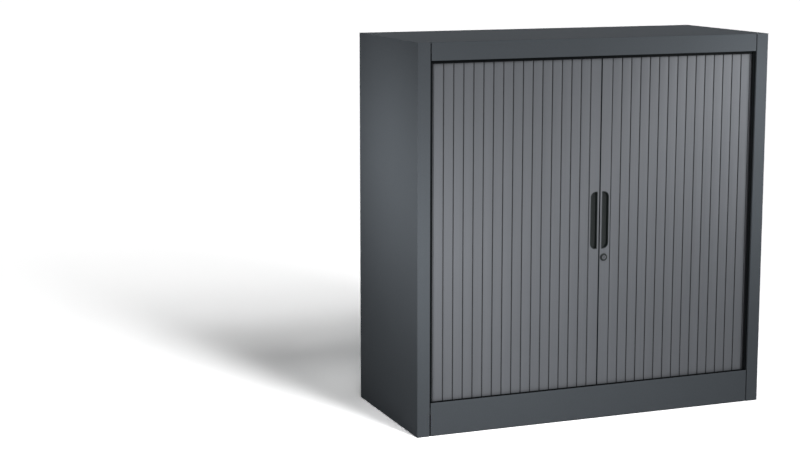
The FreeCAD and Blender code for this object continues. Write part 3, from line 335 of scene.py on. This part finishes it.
def slat_section(bm):
    """The closed outline of a slat: a crowned face, the socket of the next hinge, and the bead of its own
    tail hinge on a web."""
    middle, far_edge = PITCH / 2, PITCH - SLAT_EDGE
    half_face = middle - SLAT_EDGE
    # across the crowned face
    crown_radius = (half_face ** 2 + SLAT_CROWN ** 2) / (2 * SLAT_CROWN)
    crown_steps = 12
    end = start = bm.verts.new(Vector((SLAT_EDGE, SLAT_CROWN - SLAT_RISE, 0)) * MM)
    for number in range(1, crown_steps + 1):
        x = SLAT_EDGE + 2 * half_face * number / crown_steps
        end = step(bm, end, x, crown_radius - SLAT_RISE - math.sqrt(crown_radius ** 2 - (x - middle) ** 2))
    # down its far edge to the socket, and round the socket's outside to the front lip of its mouth
    wall_y = -math.sqrt(SOCKET ** 2 - SLAT_EDGE ** 2)
    end = step(bm, end, far_edge, wall_y)
    end = sweep(bm, end, PITCH, MOUTH_FRONT - math.degrees(math.atan2(wall_y, -SLAT_EDGE)), 6)
    # over the lip, round the pocket for the next bead and over the back lip to the back of the face's wall
    end = step(bm, end, *about_next_hinge(POCKET, MOUTH_FRONT))
    end = sweep(bm, end, PITCH, MOUTH_BACK - MOUTH_FRONT - 360, 14)
    end = step(bm, end, *about_next_hinge(SOCKET, MOUTH_BACK))
    end = sweep(bm, end, PITCH, 180 - MOUTH_BACK, 7)
    # along the wall to the leg that holds the web, round the bead at the web's end, and back to the face
    leg_near = SOCKET + LEG_GAP
    leg_far = leg_near + LEG
    root = math.sqrt(BEAD ** 2 - WEB_HALF ** 2)
    for x, y in ((PITCH - SOCKET, -SLAT_INSIDE), (leg_far, -SLAT_INSIDE), (leg_far, WEB_HALF),
                 (root, WEB_HALF)):
        end = step(bm, end, x, y)
    end = sweep(bm, end, 0, 360 - 2 * math.degrees(math.asin(WEB_HALF / BEAD)), 12)
    for x, y in ((leg_near, -WEB_HALF), (leg_near, -SLAT_INSIDE), (SLAT_EDGE, -SLAT_INSIDE)):
        end = step(bm, end, x, y)
    bm.edges.new((end, start))
    bmesh.ops.remove_doubles(bm, verts=bm.verts, dist=CLOSE)


def slat_solid():
    """One slat at full length, with the upright edges of its face rounded."""
    bm = bmesh.new()
    slat_section(bm)
    section = bmesh.ops.contextual_create(bm, geom=bm.edges)["faces"]
    raised = bmesh.ops.extrude_face_region(bm, geom=section)["geom"]
    bmesh.ops.translate(bm, verts=points_of(raised), vec=(0, 0, (SLAT_HEAD - SLAT_FOOT) * MM))
    bmesh.ops.translate(bm, verts=bm.verts, vec=(0, 0, SLAT_FOOT * MM))
    corners = [Vector((x, SLAT_CROWN - SLAT_RISE)) * MM for x in (SLAT_EDGE, PITCH - SLAT_EDGE)]
    edges = []
    for edge in bm.edges:
        foot, head = (vertex.co for vertex in edge.verts)
        upright = (foot - head).xy.length < CLOSE
        if upright and min((foot.xy - corner).length for corner in corners) < CLOSE:
            edges.append(edge)
    bmesh.ops.bevel(bm, geom=edges, offset=EDGE_ROUND * MM, offset_type="OFFSET", segments=3, profile=0.5,
                    affect="EDGES", material=-1)
    return bm


def curtain(name, places, side):
    """Slats side by side. side is 1 for the left curtain and -1 for the right one, which is its mirror."""
    bm = slat_solid()
    first = bm.verts[:] + bm.edges[:] + bm.faces[:]
    for x, y, degrees in places:
        verts = points_of(bmesh.ops.duplicate(bm, geom=first)["geom"])
        turn = Matrix.Rotation(math.radians(degrees), 3, "Z")
        bmesh.ops.rotate(bm, verts=verts, cent=(0, 0, 0), matrix=turn)
        bmesh.ops.translate(bm, verts=verts, vec=Vector((x, y, 0)) * MM)
    bmesh.ops.delete(bm, geom=points_of(first), context="VERTS")
    if side < 0:
        bmesh.ops.scale(bm, vec=(-1, 1, 1), verts=bm.verts)
        bmesh.ops.reverse_faces(bm, faces=bm.faces)
    return piece(bm, name, "carcass", "slat_plastic", smooth_degrees=50)


def places_on_flat(count):
    """The tail hinges of the slats across the front of the left curtain, each with its turn."""
    return [(-BEND_START + PITCH * number, HINGE_LINE, 0) for number in range(count)]


def places_on_bend(count):
    """The tail hinges of the slats that lie round the left corner, each with its turn."""
    turn = 2 * math.asin(PITCH / 2 / BEND_RADIUS)
    places = []
    for number in range(1, count + 1):
        along = number * turn
        places.append((-BEND_START - BEND_RADIUS * math.sin(along), BEND_Y - BEND_RADIUS * math.cos(along),
                       math.degrees(turn / 2 - along)))
    return places


for side, name, count in ((1, "left", LEFT_SLATS), (-1, "right", RIGHT_SLATS)):
    flat = curtain(f"{name}_slats", places_on_flat(count), side)
    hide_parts(f"{name}_curtain")
    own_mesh(flat)
    tail = curtain(f"{name}_corner_slats", places_on_bend(TAIL_SLATS), side)
    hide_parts(f"{name}_curtain_tail")


# Grips: a moulded shell, round towards the slats and straight towards the seam

# how far in from the outline and how far behind the face the shell's loops lie, from its back round the
# outside, over the rim and down into the hollow; no two lie at the same depth, because the bridge between
# two such loops can cross over
GRIP_SHELL = [
    (1.5, 11.2), (1.5, 0.02), (0.0, 0.0), (0.0, -0.25), (0.25, -0.47), (1.2, -0.5), (1.5, -0.3), (1.7, 0.5),
    (1.9, 7.5), (2.5, 9.0), (3.6, 9.8), (5.2, 10.0),
]


def grip_ring(bm, inset, y, side):
    """One loop of the grip's outline, made smaller all round by the inset."""
    slat_edge, seam_edge = side * (GRIP_SLAT_EDGE + inset), side * (GRIP_SEAM_EDGE - inset)
    pivot = LEFT_PIVOT if side > 0 else RIGHT_PIVOT
    corners = [(slat_edge, GRIP_FOOT + inset), (seam_edge, GRIP_FOOT + inset),
               (seam_edge, GRIP_HEAD - inset), (slat_edge, GRIP_HEAD - inset)]
    verts = [bm.verts.new(Vector((pivot + x, y, z)) * MM) for x, z in corners]
    edges = [bm.edges.new((verts[number - 1], verts[number])) for number in range(4)]
    bmesh.ops.contextual_create(bm, geom=edges)
    known = set(bm.verts) - set(verts)
    width = GRIP_SEAM_EDGE - GRIP_SLAT_EDGE - 2 * inset
    slat_round = min(GRIP_ROUND - inset, width - GRIP_SEAM_ROUND - GRIP_STRAIGHT)
    for offset, segments, rounded in ((slat_round, 12, (verts[0], verts[3])),
                                      (GRIP_SEAM_ROUND, 4, (verts[1], verts[2]))):
        bmesh.ops.bevel(bm, geom=list(rounded), offset=offset * MM, offset_type="OFFSET", segments=segments,
                        profile=0.5, affect="VERTICES", material=-1)
    loop = [vertex for vertex in bm.verts if vertex not in known]
    ring = list({edge for vertex in loop for edge in vertex.link_edges})
    faces = list({face for vertex in loop for face in vertex.link_faces})
    bmesh.ops.delete(bm, geom=faces, context="FACES_ONLY")
    return ring


def grip(name, side):
    """The shell of a grip, closed at its back and at the bottom of its hollow."""
    bm = bmesh.new()
    rings = [grip_ring(bm, inset, FACE + depth, side) for inset, depth in GRIP_SHELL]
    for near, far in zip(rings, rings[1:]):
        bmesh.ops.bridge_loops(bm, edges=near + far)
    for ring in (rings[0], rings[-1]):
        bmesh.ops.contextual_create(bm, geom=ring)
    made = piece(bm, f"{name}_grip_moulding", f"{name}_shutter", "black_plastic")
    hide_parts(f"{name}_grip")


grip("left", 1)
grip("right", -1)


# Lock collar: a section that goes once round the lock's axis


def lock_collar():
    """The lock's collar, rounded in front, with its barrel through the profile's face."""
    front = -LOCK_RISE
    # radius and depth behind the profile's face, from the bore's front edge round the rim to its back edge
    section = [
        (LOCK_BORE, front + 0.8), (LOCK_BORE + 0.5, front + 0.3), (LOCK_BORE + 1.2, front),
        (LOCK_RIM - 1.4, front), (LOCK_RIM - 0.7, front + 0.2), (LOCK_RIM - 0.2, front + 0.7),
        (LOCK_RIM, front + 1.4), (LOCK_RIM, 0.0),
        (LOCK_BARREL, 0.0), (LOCK_BARREL, LOCK_BARREL_LENGTH), (LOCK_BORE, LOCK_BARREL_LENGTH),
    ]
    bm = bmesh.new()
    verts = [bm.verts.new((LOCK + Vector((radius, depth, 0))) * MM) for radius, depth in section]
    for number in range(len(verts)):
        bm.edges.new((verts[number - 1], verts[number]))
    bmesh.ops.spin(bm, geom=bm.verts[:] + bm.edges[:], cent=LOCK * MM, axis=(0, 1, 0), angle=math.tau,
                   steps=64, use_merge=True)
    bmesh.ops.remove_doubles(bm, verts=bm.verts, dist=CLOSE)
    made = piece(bm, "lock_collar", "right_shutter", "black_plastic")
    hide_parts("lock_housing")


lock_collar()


# Trim: black strips round the opening, which also serve as painted shade in the dark gaps at its edges, and a
# strip along the seam

LIP_FRONT, LIP_BACK = -201.9, -200.4
UPPER_LIP_SHOWN, LOWER_LIP_SHOWN = 7.6, 1.7
STRIP_FRONT, STRIP_BACK = -203.9, -202.0
STRIP_SHOWN, STRIP_TUCK = 7.0, 1.0  # beside the post and behind it
STRIP_GAP = 0.2          # under the rail
UPPER_TUCK, LOWER_TUCK = 8.0, 10.8  # behind the rail and the plinth
SEAL_LEFT, SEAL_RIGHT, SEAL_RISE = 11.9, 15.1, 0.7
SEAL_FOOT, SEAL_HEAD = 88.0, 959.0
TRIM_ROUND = 0.25


def trim(name, body, low, high):
    """A strip between two opposite corners that rides a body."""
    bm = bmesh.new()
    low, high = Vector(low), Vector(high)
    bmesh.ops.create_cube(bm, size=1)
    bmesh.ops.scale(bm, vec=(high - low) * MM, verts=bm.verts)
    bmesh.ops.translate(bm, vec=(high + low) / 2 * MM, verts=bm.verts)
    bmesh.ops.bevel(bm, geom=bm.edges[:], offset=TRIM_ROUND * MM, offset_type="OFFSET", segments=2,
                    profile=0.5, affect="EDGES", material=-1)
    piece(bm, name, body, "track_plastic")


# painted shade: these lips and strips are black so that the gaps above, below and beside the curtains show
# dark
trim("upper_shade_lip", "carcass",
     (-POST_EDGE, LIP_FRONT, RAIL_FOOT - UPPER_LIP_SHOWN), (POST_EDGE, LIP_BACK, RAIL_FOOT + UPPER_TUCK))
trim("lower_shade_lip", "carcass",
     (-POST_EDGE, LIP_FRONT, PLINTH_TOP - LOWER_TUCK), (POST_EDGE, LIP_BACK, PLINTH_TOP + LOWER_LIP_SHOWN))
trim("left_shade_strip", "carcass",
     (-POST_EDGE - STRIP_TUCK, STRIP_FRONT, PLINTH_TOP - LOWER_TUCK),
     (-POST_EDGE + STRIP_SHOWN, STRIP_BACK, RAIL_FOOT - STRIP_GAP))
trim("right_shade_strip", "carcass",
     (POST_EDGE - STRIP_SHOWN, STRIP_FRONT, PLINTH_TOP - LOWER_TUCK),
     (POST_EDGE + STRIP_TUCK, STRIP_BACK, RAIL_FOOT - STRIP_GAP))
trim("closing_seal", "left_shutter",
     (SEAL_LEFT, FACE - SEAL_RISE, SEAL_FOOT), (SEAL_RIGHT, FACE, SEAL_HEAD))


# Floor

FLOOR_RADIUS = 30
FLOOR_SHADE = 0.5        # of the light that falls on the floor, what it gives back to the cupboard
FLOOR_SEEN = 2.95        # whiter than white, so that the lit floor is blank and only the shadow on it shows


def seen_directly(tree):
    """1 where the surroundings are seen, straight on, in a reflection or through glass, and 0 elsewhere."""
    light = add(tree, "LightPath").outputs
    seen = add(tree, "Math", {0: light["Is Camera Ray"], 1: light["Is Glossy Ray"]}, operation="MAXIMUM")
    return add(tree, "Math", {0: seen, 1: light["Is Transmission Ray"]}, operation="MAXIMUM")


def studio_floor():
    """A pale floor that shows white to the eye and in reflections, and keeps the cupboard's shadow."""
    made, tree = new_material("pale_floor")
    pale = add(tree, "MapRange", {"Value": seen_directly(tree), "To Min": FLOOR_SHADE, "To Max": FLOOR_SEEN})
    shade = add(tree, "CombineColor", {channel: pale for channel in range(3)})
    matte = add(tree, "BsdfDiffuse", {"Color": shade})
    add(tree, "OutputMaterial", {"Surface": matte})
    bm = bmesh.new()
    bmesh.ops.create_circle(bm, cap_ends=True, segments=64, radius=FLOOR_RADIUS)
    mesh = bpy.data.meshes.new("studio_floor")
    bm.to_mesh(mesh)
    bm.free()
    mesh.materials.append(made)
    floor = bpy.data.objects.new("studio_floor", mesh)
    bpy.context.scene.collection.objects.link(floor)


studio_floor()


# Light

WORLD_LEVEL = 0.01
SUN_X, SUN_Y = 0.85, -3.0
SUN_WIDTH = 13           # degrees


def studio_world():
    """Faint light from all round, which shows white to the eye and in reflections."""
    world = bpy.data.worlds.new("studio_world")
    world.use_nodes = True
    tree = world.node_tree
    tree.nodes.clear()
    strength = add(tree, "MapRange", {"Value": seen_directly(tree), "To Min": WORLD_LEVEL, "To Max": 1.0})
    background = add(tree, "Background", {"Color": linear("#FFFFFF"), "Strength": strength})
    add(tree, "OutputWorld", {"Surface": background})
    bpy.context.scene.world = world


def lamp(name, kind, place, target, energy, roll=0, **settings):
    """A lamp that shines from its place at a target. roll turns it about its beam, in degrees."""
    data = bpy.data.lights.new(name, kind)
    data.energy = energy
    for setting, value in settings.items():
        setattr(data, setting, value)
    made = bpy.data.objects.new(name, data)
    made.location = place
    aim = (Vector(target) - Vector(place)).to_track_quat("-Z", "Y")
    made.rotation_euler = (aim @ Quaternion((0, 0, 1), math.radians(roll))).to_euler()
    made.visible_camera = False
    bpy.context.scene.collection.objects.link(made)


def sun(name, elevation, energy):
    """A sun in front and to the right, so many degrees above the floor."""
    height = math.hypot(SUN_X, SUN_Y) * math.tan(math.radians(elevation))
    lamp(name, "SUN", (SUN_X, SUN_Y, height), (0, 0, 0), energy, angle=math.radians(SUN_WIDTH))


def panel(name, place, target, energy, size, size_y, roll=0, spread=180):
    """A flat lamp. spread is how wide its beam opens, in degrees."""
    lamp(name, "AREA", place, target, energy, roll, shape="RECTANGLE", size=size, size_y=size_y,
         spread=math.radians(spread))


studio_world()

# the key light is tall and narrow, so that the shadow's front edge is crisp while its end fades away
sun("low_sun", 20, 0.34)
sun("middle_sun", 32, 0.37)
sun("upper_sun", 44, 0.47)
sun("high_sun", 56, 0.28)
sun("overhead_sun", 84, 0.22)

# small lamps close by give the front, its corners, the sides and the back their own fall of light
panel("slanting_strip", (0.18, -0.65, 0.57), (-0.12, -0.21, 0.57), 1.1, 1.2, 0.1, roll=43)
panel("right_high_panel", (0.92, -0.64, 1.08), (0.45, -0.21, 0.9), 0.5, 0.3, 0.3, spread=125)
panel("right_corner_panel", (0.85, -0.45, 0.7), (0.5, -0.21, 0.7), 0.4, 0.1, 0.6, spread=90)
panel("left_low_panel", (-0.75, -0.85, 0.45), (-0.45, -0.21, 0.42), 0.7, 0.3, 0.3, spread=100)
panel("left_corner_panel", (-0.85, -0.75, 0.62), (-0.5, -0.21, 0.6), 0.5, 0.2, 0.3, spread=100)
panel("left_side_lamp", (-0.95, 0.0, 0.69), (-0.5, 0.0, 0.69), 1.0, 0.3, 0.3, spread=140)
panel("right_side_lamp", (1.1, 0.0, 0.6), (0.5, 0.0, 0.6), 1.2, 0.4, 0.7, spread=50)
panel("back_lamp", (0.0, 0.95, 0.62), (0.0, 0.21, 0.62), 1.6, 0.8, 0.7, spread=46)


# Camera: its place, lens and angles come from a fit of the cupboard's edges to the photograph

PHOTO_WIDTH, PHOTO_SHIFT = 800, -31.5  # pixels
CAMERA_TILT = 0.1571     # radians below level
CAMERA_TURN = -0.37014   # radians about the upright, from the view along +Y

camera = bpy.data.objects.new("camera", bpy.data.cameras.new("camera"))
camera.data.sensor_width = 36
camera.data.lens = 79.364
camera.data.shift_y = PHOTO_SHIFT / PHOTO_WIDTH
camera.location = (-2.10253, -4.21984, 1.29466)
camera.rotation_euler = (math.pi / 2 - CAMERA_TILT, 0, CAMERA_TURN)
bpy.context.scene.collection.objects.link(camera)
bpy.context.scene.camera = camera
bpy.context.scene.view_settings.view_transform = "Standard"
